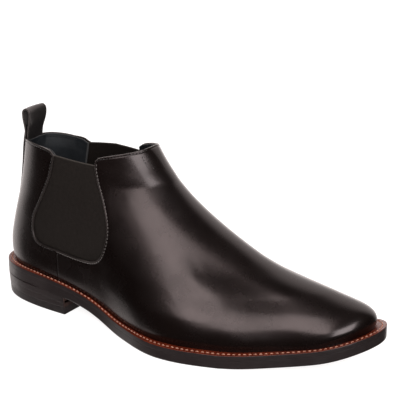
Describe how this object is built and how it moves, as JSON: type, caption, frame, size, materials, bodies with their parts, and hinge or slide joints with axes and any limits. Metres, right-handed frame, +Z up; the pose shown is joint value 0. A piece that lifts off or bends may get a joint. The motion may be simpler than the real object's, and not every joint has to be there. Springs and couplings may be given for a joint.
{
  "type": "chelsea boot",
  "caption": "Low chelsea boot of polished black leather with two elastic side gores, a heel pull tab, a stitched welt and a stacked heel.",
  "frame": {"origin": "on the ground, on the sole's flat tread under the middle of the boot's length", "axes": "+X to the toe, +Z up, -Y to the outer (lateral) side of this right boot"},
  "size_m": [0.3048, 0.1072, 0.1417],
  "materials": {
    "upper_leather": "gloss",
    "lining_leather": "satin",
    "strap_leather": "satin",
    "elastic": "matte",
    "upper_thread": "matte",
    "welt_thread": "matte",
    "welt_leather": "satin",
    "sole_leather": "satin",
    "heel_leather": "satin",
    "heel_rubber": "matte",
    "nail_brass": "satin",
    "shank_steel": "satin",
    "cork": "matte",
    "insole_leather": "matte",
    "stiffener": "matte"
  },
  "bodies": {
    "boot": {"outsole": "sole_leather", "welt": "welt_leather", "welt_stitching": "welt_thread", "cork_filler": "cork", "shank": "shank_steel", "insole_board": "insole_leather", "sock_liner": "lining_leather", "heel_lift_1": "heel_leather", "heel_lift_2": "heel_leather", "heel_top_piece": "heel_rubber", "heel_nails": "nail_brass", "toe_puff": "stiffener", "heel_counter": "stiffener", "vamp": "upper_leather", "vamp_lining": "lining_leather", "quarter": "upper_leather", "quarter_lining": "lining_leather", "gore_lateral": "elastic", "gore_medial": "elastic", "gore_stitching_lateral": "upper_thread", "gore_stitching_medial": "upper_thread", "side_seam_stitching": "upper_thread", "quarter_stitching": "upper_thread", "back_strap": "strap_leather", "strap_tail": "strap_leather", "strap_stitching": "upper_thread"},
    "collar": {"vamp_shaft": "upper_leather", "shaft_lining": "lining_leather", "shaft_stitching": "upper_thread"},
    "tab": {"pull_tab": "strap_leather"}
  },
  "joints": [
    {"name": "collar_opening", "type": "hinge", "parent": "boot", "child": "collar", "pos_m": [0.0135, 0, 0.0925], "axis": [0, 1, 0], "range_deg": [0, 10], "stiffness_Nm_per_rad": 2.5},
    {"name": "pull_tab_fold", "type": "hinge", "parent": "boot", "child": "tab", "pos_m": [-0.1326, 0, 0.12182], "axis": [0, 1, 0], "range_deg": [-75, 75], "stiffness_Nm_per_rad": 0.02}
  ]
}
